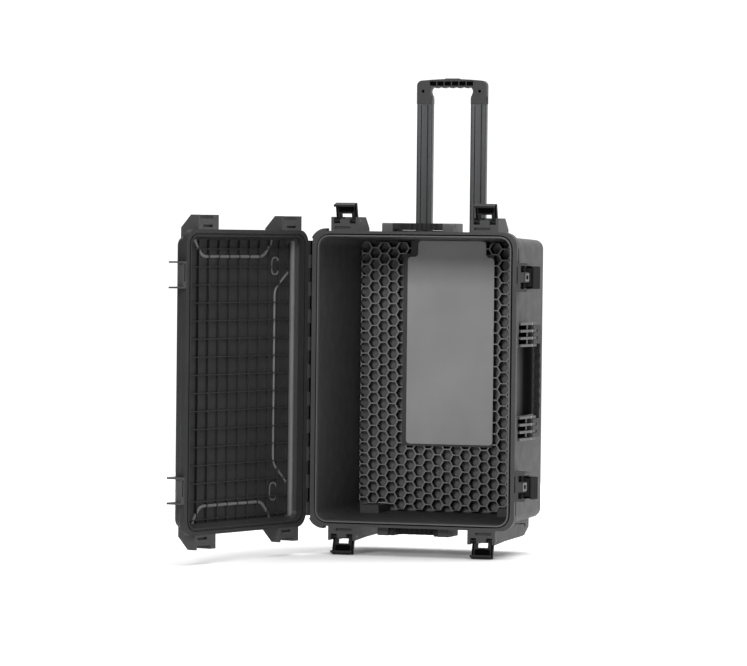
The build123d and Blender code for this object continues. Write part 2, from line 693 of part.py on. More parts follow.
def main():
    os.makedirs("parts", exist_ok=True)
    save("base_shell", base_shell())
    save("base_rim", base_rim())
    save("floor_honeycomb", honeycomb())
    save("hinge_pin", hinge_pin())
    save("lid_shell", lid_shell(), LID_POSE)
    save("lid_rim", lid_rim(), LID_POSE)
    save("lid_gasket", lid_gasket(), LID_POSE)
    save("lid_rib_grid", lid_rib_grid(), LID_POSE)
    save_latches()
    save_handles()
    for side, name in ((-1, "left"), (1, "right")):
        save(f"trolley_sleeve_{name}", sleeve(side))
        save(f"trolley_tube_{name}", trolley_tube(side))
        save(f"tube_foot_{name}", tube_foot(side))
        save(f"wheel_housing_{name}", wheel_housing(side))
        save(f"wheel_{name}", wheel(side))
        save(f"wheel_axle_{name}", wheel_axle(side))
    save("grip_front", grip_half(True))
    save("grip_back", grip_half(False))
    save("grip_screws", grip_screws())
    save("release_button", release_button())
    save("release_linkage", release_linkage())
    save("guide_collar", guide_collar())
    save("trolley_cover", trolley_cover())
    save("cover_screws", cover_screws())


main()
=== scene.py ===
"""Looks for the drone carrying case: moulded shells, latches, handles, trolley and wheels."""
import json
import math

import bmesh
import bpy
from mathutils import Matrix, Vector


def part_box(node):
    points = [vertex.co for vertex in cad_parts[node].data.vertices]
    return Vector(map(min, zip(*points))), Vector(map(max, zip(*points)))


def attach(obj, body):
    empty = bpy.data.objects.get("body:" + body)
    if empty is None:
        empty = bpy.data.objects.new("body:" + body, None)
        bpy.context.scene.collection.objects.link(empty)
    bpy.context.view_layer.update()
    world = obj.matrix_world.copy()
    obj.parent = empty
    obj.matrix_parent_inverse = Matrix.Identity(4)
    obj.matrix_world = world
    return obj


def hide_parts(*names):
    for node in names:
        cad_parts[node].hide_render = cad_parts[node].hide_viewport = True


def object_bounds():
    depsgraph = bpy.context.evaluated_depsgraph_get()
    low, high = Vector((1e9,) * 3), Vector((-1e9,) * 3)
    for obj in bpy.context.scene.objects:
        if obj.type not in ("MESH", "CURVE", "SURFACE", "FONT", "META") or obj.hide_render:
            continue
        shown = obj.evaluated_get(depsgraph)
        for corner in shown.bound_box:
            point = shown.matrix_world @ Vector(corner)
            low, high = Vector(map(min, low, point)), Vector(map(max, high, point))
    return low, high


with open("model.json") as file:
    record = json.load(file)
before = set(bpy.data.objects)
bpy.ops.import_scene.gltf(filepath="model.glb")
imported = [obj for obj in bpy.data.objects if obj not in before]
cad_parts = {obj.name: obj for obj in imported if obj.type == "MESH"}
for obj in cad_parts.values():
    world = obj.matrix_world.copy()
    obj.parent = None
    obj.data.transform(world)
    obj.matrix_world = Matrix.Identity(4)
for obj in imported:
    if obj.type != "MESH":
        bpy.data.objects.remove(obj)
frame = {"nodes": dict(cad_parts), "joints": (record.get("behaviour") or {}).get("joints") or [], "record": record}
cad_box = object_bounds()
NODES = frame["nodes"]
JOINTS = {joint["name"]: joint for joint in frame["joints"]}
MM = 0.001
STAND = Matrix.Rotation(math.radians(90), 4, "X")

# Driving dimensions of the pieces made here, in millimetres
RIM = 272.0
RIB_TOP = 29.0
LID_FLOOR = RIM + 34.5
PANEL = {"left": -87.0, "right": 97.0, "low": -138.0, "shoulder": 244.0, "top": 277.0,
         "neck_left": -65.0, "neck_right": 79.0, "corner": 9.0}
PAD_LEFT = 133.0
PAD_RIGHT = -123.0
PAD_EDGE = 242.5
GRIP_HALF = 73.5
GRIP_TOP = 607.0
GRIP_LOW = 556.0
GRIP_CORNER = 11.0
FINGER_LINE = 589.5
FINGER_WAVE = 1.2
FINGER_PITCH = 16.0
POCKETS = 6
POCKET_PITCH = 15.6
POCKET_WIDTH = 13.6
POCKET_LOW = 593.5
POCKET_HIGH = 602.0
TUBE_X = 57.0
TUBE_Z = 15.0
GROOVE_EDGE = 6.9
GROOVE_LOW = 206.0
GROOVE_HIGH = 554.0
HINGE_HALF = 274.0
HINGE_GAP_LEFT = -225.5
HINGE_GAP_RIGHT = -212.6
# Where the thin painted-shade plate under the side handle sits
SHADE_PLATE_HALF = 69.0
SHADE_PLATE_FACE = 200.4
EAR_GAP = 48.0
LATCHES = ("top_left", "top_right", "bottom_left", "bottom_right", "side_upper", "side_lower")
END_LEVER_OPEN = 75.0
SIDE_LEVER_OPEN = 60.0
WALL_LEAN = 0.0244
WALL_LEAN_FROM = 250.0

# A latch in its own axes (across, out of the flange, up): its pivot, faces and widths
PIVOT_U = 20.0
PIVOT_V = -14.0
LEVER_HALF = 22.0
LEVER_FACE = 21.5
LEVER_TOP = 16.8
EYE_HALF = 8.0
EYE_HOLE_HALF = 4.0
EYE_FACE = 24.0

# Rounded rectangles round the rim: width, height and corner radius
CREST_OUTSIDE = (401.4, 573.4, 23.7)
CREST_INSIDE = (396.6, 568.6, 21.3)
LINE_OUTSIDE = (407.0, 579.0, 27.0)
LINE_INSIDE = (402.4, 574.4, 24.2)
CORNER_FULLNESS = 1.17

# The view: how far the camera stands off, and its turn, height and roll in degrees
CAMERA_DISTANCE = 8.67
CAMERA_TURN = 17.0
CAMERA_RISE = 1.87
CAMERA_ROLL = 0.62
CAMERA_LENS = 210.4
AIM_ACROSS = -0.0787
AIM_UP = 0.0929

# The surround's light: towards where it is brightest, and its two strengths
BRIGHT_SIDE = (0.72, 0.66, 0.25)
WORLD_DIM = 0.28
WORLD_BRIGHT = 1.12


# ---------------------------------------------------------------- materials
class Nodes:
    """A small helper that adds and joins shader nodes in one material."""

    def __init__(self, name):
        self.material = bpy.data.materials.new(name)
        self.material.use_nodes = True
        self.tree = self.material.node_tree
        self.shader = self.tree.nodes["Principled BSDF"]
        self.coords = self.tree.nodes.new("ShaderNodeTexCoord").outputs["Object"]

    def add(self, kind, **values):
        node = self.tree.nodes.new(kind)
        for key, value in values.items():
            setattr(node, key, value)
        return node

    def link(self, source, target):
        self.tree.links.new(source, target)

    def noise(self, scale, detail=2.0, roughness=0.5, stretch=None):
        """Noise at a number of features per metre, optionally stretched along an axis."""
        node = self.add("ShaderNodeTexNoise")
        node.inputs["Scale"].default_value = scale
        node.inputs["Detail"].default_value = detail
        node.inputs["Roughness"].default_value = roughness
        source = self.coords
        if stretch:
            mapping = self.add("ShaderNodeMapping")
            mapping.inputs["Scale"].default_value = stretch
            self.link(self.coords, mapping.inputs["Vector"])
            source = mapping.outputs["Vector"]
        self.link(source, node.inputs["Vector"])
        return node.outputs["Fac"]

    def ramp(self, source, stops):
        """A colour or grey ramp: stops are (position, value or colour)."""
        node = self.add("ShaderNodeValToRGB")
        elements = node.color_ramp.elements
        elements.remove(elements[0])
        elements[0].position = stops[0][0]
        for index, (position, value) in enumerate(stops):
            element = elements[0] if index == 0 else elements.new(position)
            colour = value if isinstance(value, tuple) else (value, value, value)
            element.color = (*colour, 1.0)
        self.link(source, node.inputs["Fac"])
        return node.outputs["Color"]

    def by_depth(self, colour, layers):
        """Scale a colour by how far behind the rim it lies, to paint light and shade by depth; layers are (depth
        in metres, factor).
        """
        split = self.add("ShaderNodeSeparateXYZ")
        self.link(self.coords, split.inputs["Vector"])
        span = self.add("ShaderNodeMapRange")
        span.inputs["From Min"].default_value = -RIM * MM
        span.inputs["From Max"].default_value = 0.0
        self.link(split.outputs["Y"], span.inputs["Value"])
        most = max(factor for _, factor in layers)
        stops = [(depth / (RIM * MM), factor / most) for depth, factor in layers]
        factor = self.ramp(span.outputs["Result"], stops)
        product = self.add("ShaderNodeVectorMath", operation="MULTIPLY")
        self.link(colour, product.inputs[0])
        self.link(factor, product.inputs[1])
        scaled = self.add("ShaderNodeVectorMath", operation="SCALE")
        scaled.inputs["Scale"].default_value = most
        self.link(product.outputs["Vector"], scaled.inputs[0])
        return scaled.outputs["Vector"]

    def bump(self, layers):
        """Stack bumps: layers are (height source, strength, depth in metres)."""
        last = None
        for source, strength, depth in layers:
            node = self.add("ShaderNodeBump")
            node.inputs["Strength"].default_value = strength
            node.inputs["Distance"].default_value = depth
            self.link(source, node.inputs["Height"])
            if last:
                self.link(last, node.inputs["Normal"])
            last = node.outputs["Normal"]
        self.link(last, self.shader.inputs["Normal"])


def shade(colour, factor):
    """A colour made lighter or darker."""
    return tuple(min(1.0, channel * factor) for channel in colour)


def moulded_plastic(name, colour, rough=0.5, grain=1400.0, depth=0.00012, scuffs=0.12, gloss=0.3,
                    layers=None):
    """Injection-moulded plastic: spark-eroded grain, faint flow mottling and light scuffs.

    Layers, when given, make it darker or paler with depth behind the rim, as painted shade and painted light:
    (depth in metres, factor).
    """
    nodes = Nodes(name)
    mottle = nodes.noise(9.0, 3.0)
    tint = nodes.ramp(mottle, [(0.3, shade(colour, 0.92)), (0.7, shade(colour, 1.08))])
    if layers:
        tint = nodes.by_depth(tint, layers)
    scuff = nodes.noise(60.0, 8.0, 0.75, (1.0, 1.0, 0.25))
    marks = nodes.ramp(scuff, [(0.62, 0.0), (0.74, scuffs)])
    mix = nodes.add("ShaderNodeMix", data_type="RGBA")
    nodes.link(marks, mix.inputs["Factor"])
    nodes.link(tint, mix.inputs["A"])
    mix.inputs["B"].default_value = (*shade(colour, 1.9), 1.0)
    nodes.link(mix.outputs["Result"], nodes.shader.inputs["Base Color"])
    sheen = nodes.ramp(nodes.noise(35.0, 4.0), [(0.3, rough - 0.05), (0.7, rough + 0.07)])
    nodes.link(sheen, nodes.shader.inputs["Roughness"])
    nodes.shader.inputs["Specular IOR Level"].default_value = gloss
    fine = nodes.noise(grain, 2.0)
    wave = nodes.noise(14.0, 1.0)
    nodes.bump([(wave, 0.08, 0.0008), (fine, 0.5, depth)])
    return nodes.material


def anodised_tube(name, colour):
    """Anodised extruded aluminium: fine draw lines along the tube and a soft metal sheen."""
    nodes = Nodes(name)
    lines = nodes.noise(900.0, 3.0, 0.6, (1.0, 1.0, 0.01))
    tint = nodes.ramp(lines, [(0.3, shade(colour, 0.9)), (0.7, shade(colour, 1.12))])
    nodes.link(tint, nodes.shader.inputs["Base Color"])
    rough = nodes.ramp(nodes.noise(50.0, 4.0), [(0.3, 0.34), (0.7, 0.44)])
    nodes.link(rough, nodes.shader.inputs["Roughness"])
    nodes.shader.inputs["Metallic"].default_value = 0.5
    nodes.bump([(lines, 0.15, 0.00005)])
    return nodes.material


def bright_steel(name):
    """Plain steel pins and screws with fine turning marks and a little dulling."""
    nodes = Nodes(name)
    marks = nodes.noise(700.0, 4.0)
    tint = nodes.ramp(marks, [(0.3, (0.36, 0.36, 0.37)), (0.7, (0.52, 0.52, 0.53))])
    nodes.link(tint, nodes.shader.inputs["Base Color"])
    rough = nodes.ramp(nodes.noise(120.0, 3.0), [(0.3, 0.26), (0.7, 0.42)])
    nodes.link(rough, nodes.shader.inputs["Roughness"])
    nodes.shader.inputs["Metallic"].default_value = 1.0
    nodes.bump([(marks, 0.1, 0.00004)])
    return nodes.material


def seal_rubber(name, colour, rough=0.72):
    """Soft black rubber with a fine matt skin and a trace of dust."""
    nodes = Nodes(name)
    dust = nodes.ramp(nodes.noise(30.0, 6.0, 0.7), [(0.45, colour), (0.8, shade(colour, 1.8))])
    nodes.link(dust, nodes.shader.inputs["Base Color"])
    nodes.shader.inputs["Roughness"].default_value = rough
    nodes.bump([(nodes.noise(1800.0, 2.0), 0.4, 0.00008)])
    return nodes.material


PANEL_PLASTIC = moulded_plastic("panel_plastic", (0.27, 0.27, 0.272), 0.4, 900.0, 0.00005, 0.05)
# Honeycomb plastic with painted light and shade: the rib tops painted about four times paler as a highlight, the
# cell walls and floors painted darker with depth as shade.
RIB_LIT_AND_SHADED_PLASTIC = moulded_plastic("rib_painted_light_and_shade", (0.045, 0.045, 0.046),
                              layers=[(0.2440, 4.0), (0.2450, 0.9), (0.2630, 0.5)])
# Tub shell plastic painted 2.6 times paler in a thin band near the back, at the level of the tub's floor: painted
# light.
TUB_PAINTED_LIGHT_PLASTIC = moulded_plastic("tub_plastic_painted_light", (0.042, 0.042, 0.043), gloss=0.22,
                              layers=[(0.2550, 1.0), (0.2610, 2.6), (0.2635, 2.6), (0.2655, 1.0)])
# The lid is painted about half as light as the base shell: painted shade, as its inner face is turned away from
# the light.
LID_SHADED_PLASTIC = moulded_plastic("lid_plastic_painted_shade", (0.022, 0.022, 0.023), 0.46, gloss=0.22)
# Pale plastic for the lid's beads: it paints highlights along the pad edges, the hinge-side fillet and the pill
# marks.
BEAD_HIGHLIGHT_PLASTIC = moulded_plastic("bead_painted_highlight", (0.12, 0.12, 0.122), 0.36)
# Near-black matt plastic used only for painted shade in gaps, grooves, hollows, wells and pockets.
SHADE_BLACK_PLASTIC = moulded_plastic("painted_shade_black", (0.003, 0.003, 0.003), 0.7, scuffs=0.0, gloss=0.0)
RING_PLASTIC = moulded_plastic("ring_plastic", (0.2, 0.2, 0.203), 0.4)
# The bracket ears' own paler grey, also used to paint a highlight along the sealing tongue's crest.
EAR_AND_CREST_HIGHLIGHT_PLASTIC = moulded_plastic("ear_plastic_and_crest_highlight", (0.085, 0.085, 0.087), 0.45)
# Plastic painted darkest in a band part-way down the side wall under the handle: painted shade.
HANDLE_SHADE_PLASTIC = moulded_plastic("painted_handle_shade", (0.07, 0.07, 0.071), 0.6, scuffs=0.03, gloss=0.0,
                                layers=[(0.058, 1.0), (0.080, 0.5), (0.105, 0.08), (0.165, 0.08),
                                        (0.196, 0.65)])
MATERIALS = {
    "shell_plastic": moulded_plastic("shell_plastic", (0.047, 0.047, 0.048), gloss=0.2),
    "inner_plastic": moulded_plastic("inner_plastic", (0.05, 0.05, 0.051), 0.52),
    "latch_plastic": moulded_plastic("latch_plastic", (0.018, 0.018, 0.019), 0.42, 2200.0, gloss=0.08),
    "handle_plastic": moulded_plastic("handle_plastic", (0.03, 0.03, 0.031), 0.45, 1800.0, gloss=0.08),
    "trolley_plastic": moulded_plastic("trolley_plastic", (0.04, 0.04, 0.041), 0.42, 2000.0, gloss=0.2),
    "button_plastic": moulded_plastic("button_plastic", (0.07, 0.07, 0.072), 0.4, 2200.0),
    "black_aluminium": anodised_tube("black_aluminium", (0.05, 0.051, 0.053)),
    "steel": bright_steel("steel"),
    "seal_rubber": seal_rubber("seal_rubber", (0.018, 0.018, 0.018)),
    "wheel_rubber": seal_rubber("wheel_rubber", (0.03, 0.03, 0.031), 0.6),
}


# ---------------------------------------------------------------- CAD nodes that stay
# The honeycomb and tub shell take plastics with painted light and shade by depth, and the lid's parts the darker
# painted-shade plastic.
SPECIAL = {"floor_honeycomb": RIB_LIT_AND_SHADED_PLASTIC, "base_shell": TUB_PAINTED_LIGHT_PLASTIC, "lid_shell": LID_SHADED_PLASTIC,
           "lid_rim": LID_SHADED_PLASTIC, "lid_rib_grid": LID_SHADED_PLASTIC, "handle_brackets_side": EAR_AND_CREST_HIGHLIGHT_PLASTIC,
           "handle_brackets_top": EAR_AND_CREST_HIGHLIGHT_PLASTIC}
BEVELS = {"floor_honeycomb": 0.35, "base_shell": 0.6, "lid_shell": 0.6}
USUAL_BEVEL = 0.5


def dress(node, slot, bevel):
    """Give a CAD node its material and round its sharp edges with modifiers."""
    obj = NODES[node]
    obj.data.materials.clear()
    obj.data.materials.append(SPECIAL.get(node, MATERIALS[slot]))
    weld = obj.modifiers.new("weld", "WELD")
    weld.merge_threshold = 0.00001
    rounding = obj.modifiers.new("rounding", "BEVEL")
    rounding.width = bevel * MM
    rounding.segments = 2
    rounding.limit_method = "ANGLE"
    rounding.angle_limit = math.radians(32)
    rounding.harden_normals = True
    obj.data.shade_smooth()
    smooth = obj.modifiers.new("normals", "WEIGHTED_NORMAL")
    smooth.keep_sharp = True


def dress_cad_nodes():
    """Dress every CAD node by its material slot."""
    for entry in frame["record"]["subparts"]:
        node = entry["node"]
        dress(node, entry["material_slot"], BEVELS.get(node, USUAL_BEVEL))


# ---------------------------------------------------------------- building helpers
def lay_flat(x, y, z):
    """A point of the case lying on its back, in millimetres, stood up in metres."""
    return Vector((x, -z, y)) * MM


def lid_turn():
    """The turn that takes the closed lid to where it rests open."""
    hinge = JOINTS["lid_hinge"]
    pivot = Vector(hinge["pos_m"])
    angle = math.radians(hinge["range_deg"][0])
    return Matrix.Translation(pivot) @ Matrix.Rotation(angle, 4, "Z") @ Matrix.Translation(-pivot)


def add_piece(name, data, body, slot, turn=None, material=None):
    """Place a finished mesh, give it its material, and let it ride on its body."""
    if turn:
        data.transform(turn)
    piece = bpy.data.objects.new(name, data)
    bpy.context.scene.collection.objects.link(piece)
    piece.data.materials.clear()
    piece.data.materials.append(material or MATERIALS[slot])
    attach(piece, body)
    return piece


def rounded_path(corners, radius, closed=False):
    """A polyline with every corner rounded off."""
    count = len(corners)
    path = []
    for index, corner in enumerate(corners):
        if not closed and index in (0, count - 1):
            path.append(corner)
            continue
        before = corners[index - 1]
        after = corners[(index + 1) % count]
        to_before = (before - corner).normalized()
        to_after = (after - corner).normalized()
        reach = min(radius, (before - corner).length / 2, (after - corner).length / 2)
        start = corner + to_before * reach
        end = corner + to_after * reach
        for step in range(7):
            t = step / 6
            path.append(start * (1 - t) ** 2 + corner * 2 * t * (1 - t) + end * t ** 2)
    return path


def curve_mesh(name, curve):
    """Turn a curve into a plain mesh."""
    holder = bpy.data.objects.new(name, curve)
    bpy.context.scene.collection.objects.link(holder)
    bpy.context.view_layer.update()
    evaluated = holder.evaluated_get(bpy.context.evaluated_depsgraph_get())
    data = bpy.data.meshes.new_from_object(evaluated)
    data.name = name
    bpy.data.objects.remove(holder)
    bpy.data.curves.remove(curve)
    return data


def bead_mesh(name, points, radius, closed=False):
    """A round bead along a path of points in metres."""
    curve = bpy.data.curves.new(name, "CURVE")
    curve.dimensions = "3D"
    curve.bevel_depth = radius * MM
    curve.bevel_resolution = 3
    curve.use_fill_caps = True
    spline = curve.splines.new("POLY")
    spline.points.add(len(points) - 1)
    for slot, point in zip(spline.points, points):
        slot.co = (*point, 1.0)
    spline.use_cyclic_u = closed
    data = curve_mesh(name, curve)
    data.shade_smooth()
    return data


def plate_mesh(name, outline, holes, z_low, z_high, edge):
    """A flat plate with holes, from outlines in lay-flat millimetres, its edges rounded off."""
    curve = bpy.data.curves.new(name, "CURVE")
    curve.dimensions = "2D"
    curve.fill_mode = "BOTH"
    curve.extrude = (z_high - z_low) / 2 - edge
    curve.bevel_depth = edge
    curve.bevel_resolution = 2
    curve.offset = -edge
    for loop in [outline] + holes:
        spline = curve.splines.new("POLY")
        spline.points.add(len(loop) - 1)
        for slot, point in zip(spline.points, loop):
            slot.co = (point[0], point[1], 0.0, 1.0)
        spline.use_cyclic_u = True
    data = curve_mesh(name, curve)
    middle = (z_low + z_high) / 2
    for vertex in data.vertices:
        x, y, z = vertex.co
        vertex.co = lay_flat(x, y, z + middle)
    data.flip_normals()
    return data


# ---------------------------------------------------------------- pieces
def well_panel():
    """The smooth flush plate over the trolley well, with its narrower neck running up."""
    p = PANEL
    corners = [(p["left"], p["low"]), (p["right"], p["low"]), (p["right"], p["shoulder"]),
               (p["neck_right"], p["shoulder"]), (p["neck_right"], p["top"]),
               (p["neck_left"], p["top"]), (p["neck_left"], p["shoulder"]), (p["left"], p["shoulder"])]
    outline = rounded_path([Vector(corner) for corner in corners], p["corner"], closed=True)
    data = plate_mesh("well_panel", outline, [], RIB_TOP - 0.5, RIB_TOP + 1.2, 0.5)
    add_piece("well_panel", data, "base", "inner_plastic", material=PANEL_PLASTIC)


def lid_point(x, y, rise=0.0):
    """A point on the floor of the closed lid; rise is towards the load."""
    return lay_flat(x, y, LID_FLOOR - rise)


def lid_bead(name, corners, radius, rounding, closed=False, rise=0.6):
    """One moulded bead on the lid's floor, in a pale plastic that paints a highlight on it."""
    points = rounded_path([lid_point(x, y, rise) for x, y in corners], rounding * MM, closed)
    data = bead_mesh(name, points, radius, closed)
    add_piece(name, data, "lid", "shell_plastic", lid_turn(), BEAD_HIGHLIGHT_PLASTIC)


def lid_beads():
    """The beads round the lid's pads, the long one beside the hinge and the two pill marks, all pale as painted
    highlights, and a fat pale bead in the hinge-side corner standing in for the highlight on its fillet.
    """
    for side, name in ((1, "top"), (-1, "bottom")):
        corners = [(PAD_LEFT + 6, side * 276), (PAD_LEFT, side * 266), (PAD_LEFT - 20, side * PAD_EDGE),
                   (PAD_RIGHT + 24, side * PAD_EDGE), (PAD_RIGHT, side * 266), (PAD_RIGHT - 4, side * 276)]
        lid_bead(f"lid_pad_bead_{name}", corners, 3.5, 14)
        middle = side * 224
        pill = [(-154, middle - 17), (-130, middle - 17), (-130, middle + 17), (-154, middle + 17)]
        lid_bead(f"lid_pill_{name}", pill, 1.6, 12, closed=True)
    lid_bead("lid_hinge_bead", [(-194, 215), (-141, 178), (-141, -168), (-196, -213)], 2.4, 14)
    # The fat pale bead along the hinge-side corner is a painted highlight standing in for the glint on the fillet
    # there.
    lid_bead("lid_fillet_highlight", [(-192, 274), (-192, -274)], 5.5, 5, rise=9.0)


def arc(centre_x, centre_y, radius, start, end):
    """Points along a quarter or half turn, in millimetres."""
    points = []
    for step in range(9):
        angle = math.radians(start + (end - start) * step / 8)
        points.append((centre_x + radius * math.cos(angle), centre_y + radius * math.sin(angle)))
    return points


def grip_outline(notch):
    """The trolley grip seen from the front: an arched bar, two legs, and a notch in the top edge."""
    round_x = GRIP_HALF - GRIP_CORNER
    round_y = GRIP_TOP - 14
    left_top = arc(-round_x, round_y, GRIP_CORNER, 180, 90) + [(-40, GRIP_TOP - 1.2)]
    right_top = [(-x, y) for x, y in reversed(left_top)]
    inner_right = [(41, GRIP_LOW), (41, 567), (43, 573), (45.5, 580), (45, 585), (42, 589)]
    finger_line = []
    for step in range(37):
        x = 40 - step * 80 / 36
        finger_line.append((x, FINGER_LINE - FINGER_WAVE * math.cos(2 * math.pi * x / FINGER_PITCH)))
    inner_left = [(-x, y) for x, y in reversed(inner_right)]
    left_foot = [(-GRIP_HALF, GRIP_LOW)]
    right_foot = [(GRIP_HALF, GRIP_LOW)]
    return left_foot + left_top + notch + right_top + right_foot + inner_right + finger_line + inner_left


def grip_slots():
    """The pockets in each face of the bar, between thin upright ribs."""
    slots = []
    for index in range(POCKETS):
        x0 = -46 + index * POCKET_PITCH
        x1 = x0 + POCKET_WIDTH
        slots.append([(x0, POCKET_LOW), (x0, POCKET_HIGH), (x1, POCKET_HIGH), (x1, POCKET_LOW)])
    return slots


def grip():
    """The trolley grip: a ribbed face at the front and back, near-black webs behind the face pockets as painted
    shade, and a hollow core for its push rods.
    """
    crown = [(-15, GRIP_TOP), (15, GRIP_TOP)]
    channel = [(-15.6, GRIP_TOP - 0.4), (-15.6, 600), (-64, 600), (-64, 560), (-50, 560), (-50, 593),
               (50, 593), (50, 560), (64, 560), (64, 600), (15.6, 600), (15.6, GRIP_TOP - 0.4)]
    outline = grip_outline(crown)
    layers = {
        "grip_face_front": (outline, grip_slots(), TUBE_Z + 6.2, TUBE_Z + 9.4, 0.7),
        "grip_shade_web_front": (outline, [], TUBE_Z + 5.4, TUBE_Z + 6.3, 0.05),
        "grip_core": (grip_outline(channel), [], TUBE_Z - 5.5, TUBE_Z + 5.5, 0.05),
        "grip_shade_web_back": (outline, [], TUBE_Z - 6.3, TUBE_Z - 5.4, 0.05),
        "grip_face_back": (outline, grip_slots(), TUBE_Z - 9.4, TUBE_Z - 6.2, 0.7),
    }
    for name, layer in layers.items():
        # The webs are near-black so the pockets read dark: painted shade.
        material = SHADE_BLACK_PLASTIC if "web" in name else None
        data = plate_mesh(name, *layer)
        add_piece(name, data, "trolley", "trolley_plastic", material=material)
    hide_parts("grip_front")
    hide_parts("grip_back")


def grip_screw_shades():
    """Near-black discs over the recessed heads of the two grip screws, on the front face: painted shade in the
    recesses.
    """
    for side, name in ((-1, "left"), (1, "right")):
        ring = arc(side * 60, 582, 3.2, 0, 360)[:-1]
        data = plate_mesh(f"grip_screw_shade_{name}", ring, [], TUBE_Z + 9.3, TUBE_Z + 9.6, 0.1)
        add_piece(f"grip_screw_shade_{name}", data, "trolley", "steel", material=SHADE_BLACK_PLASTIC)


def tube_groove_shade():
    """Painted shadow: near-black strips in the corners of the groove down the front of each trolley tube."""
    strips = []
    for side in (-1, 1):
        for edge in (-1, 1):
            x = side * TUBE_X + edge * GROOVE_EDGE
            strips.append(((x - 0.6, GROOVE_LOW, TUBE_Z + 7.2), (x + 0.6, GROOVE_HIGH, TUBE_Z + 7.6)))
    data = box_mesh("tube_groove_shade", strips)
    add_piece("tube_groove_shade", data, "trolley", "black_aluminium", STAND, SHADE_BLACK_PLASTIC)


def rounded_ring(width, height, radius):
    """A rounded rectangle round the middle of the case, as lay-flat outline points."""
    x = width / 2
    y = height / 2
    corners = [Vector(corner) for corner in ((-x, -y), (x, -y), (x, y), (-x, y))]
    return rounded_path(corners, radius * CORNER_FULLNESS, closed=True)


def rim_lines():
    """A pale ring painted as a highlight on the crest of the sealing tongue, a near-black line round it painted as
    the shade at its foot, and a near-black strip painted as the shade in the hinge gap.
    """
    crest = plate_mesh("tongue_crest_highlight", rounded_ring(*CREST_OUTSIDE), [rounded_ring(*CREST_INSIDE)],
                       RIM + 2.45, RIM + 2.75, 0.05)
    line = plate_mesh("tongue_shade_line", rounded_ring(*LINE_OUTSIDE), [rounded_ring(*LINE_INSIDE)],
                      RIM - 0.05, RIM + 0.06, 0.01)
    gap = box_mesh("hinge_gap_shade", [((HINGE_GAP_LEFT, -HINGE_HALF, RIM - 0.2),
                                  (HINGE_GAP_RIGHT, HINGE_HALF, RIM + 0.25))])
    add_piece("tongue_crest_highlight", crest, "base", "shell_plastic", material=EAR_AND_CREST_HIGHLIGHT_PLASTIC)
    add_piece("tongue_shade_line", line, "base", "shell_plastic", material=SHADE_BLACK_PLASTIC)
    add_piece("hinge_gap_shade", gap, "base", "shell_plastic", STAND, SHADE_BLACK_PLASTIC)


def box_mesh(name, boxes):
    """Boxes in one mesh; each box is its low and high corner in millimetres, in its own axes."""
    mesh = bmesh.new()
    for low, high in boxes:
        low = Vector(low)
        high = Vector(high)
        size = Matrix.Diagonal((*(high - low), 1.0))
        place = Matrix.Scale(MM, 4) @ Matrix.Translation((low + high) / 2) @ size
        bmesh.ops.create_cube(mesh, size=1.0, matrix=place)
    data = bpy.data.meshes.new(name)
    mesh.to_mesh(data)
    mesh.free()
    return data


def latch_frame(name):
    """The placement of a latch's own axes (across, out of the flange, up) in the stood-up case."""
    pivot = Vector(JOINTS[f"latch_{name}_swing"]["pos_m"])
    if "side" in name:
        across = Vector((0, 0, -1))
        out = Vector((1, 0, 0))
    else:
        side = 1 if "top" in name else -1
        across = Vector((side, 0, 0))
        out = Vector((0, 0, side))
    up = Vector((0, -1, 0))
    turn = Matrix((across, out, up)).transposed().to_4x4()
    return Matrix.Translation(pivot - (out * PIVOT_U + up * PIVOT_V) * MM) @ turn


def open_swing(angle):
    """The turn of a lever, in a latch's own axes, from closed to its open rest."""
    pivot = Matrix.Translation(Vector((0, PIVOT_U, PIVOT_V)) * MM)
    return pivot @ Matrix.Rotation(math.radians(-angle), 4, "X") @ pivot.inverted()


def lever_shade_boxes():
    """Painted shade: near-black sheets in the hollow of a lever and in the gaps beside its cheeks, and thin
    near-black lines along its sides as their shaded edges.
    """
    boxes = [((-16, LEVER_FACE - 0.3, 4), (16, LEVER_FACE, LEVER_TOP))]
    for x in (-LEVER_HALF + 2.4, LEVER_HALF - 2.4):
        boxes.append(((x - 1.6, LEVER_FACE - 0.6, -9), (x + 1.6, LEVER_FACE, LEVER_TOP)))
    for x in (-LEVER_HALF, LEVER_HALF):
        boxes.append(((x - 0.2, 12, LEVER_TOP + 1), (x + 0.2, LEVER_FACE - 0.5, 21.6)))
    return boxes


def boss_shade_boxes():
    """Painted shade: near-black sheets in the two wells of a latch's boss."""
    return [((x0, 15.1, -32.9), (x0 + 12.4, 27.6, -30.5)) for x0 in (-22.6, 10.2)]


def eye_boxes():
    """The pale frame of the tongue's eye: two rails, then two posts between them."""
    front = EYE_FACE + 0.4
    rails = [((-EYE_HALF, EYE_FACE, low), (EYE_HALF, front, low + 7)) for low in (-30, -9)]
    posts = [((left, EYE_FACE, -23), (left + EYE_HALF - EYE_HOLE_HALF, front, -9))
             for left in (-EYE_HALF, EYE_HOLE_HALF)]
    return rails + posts


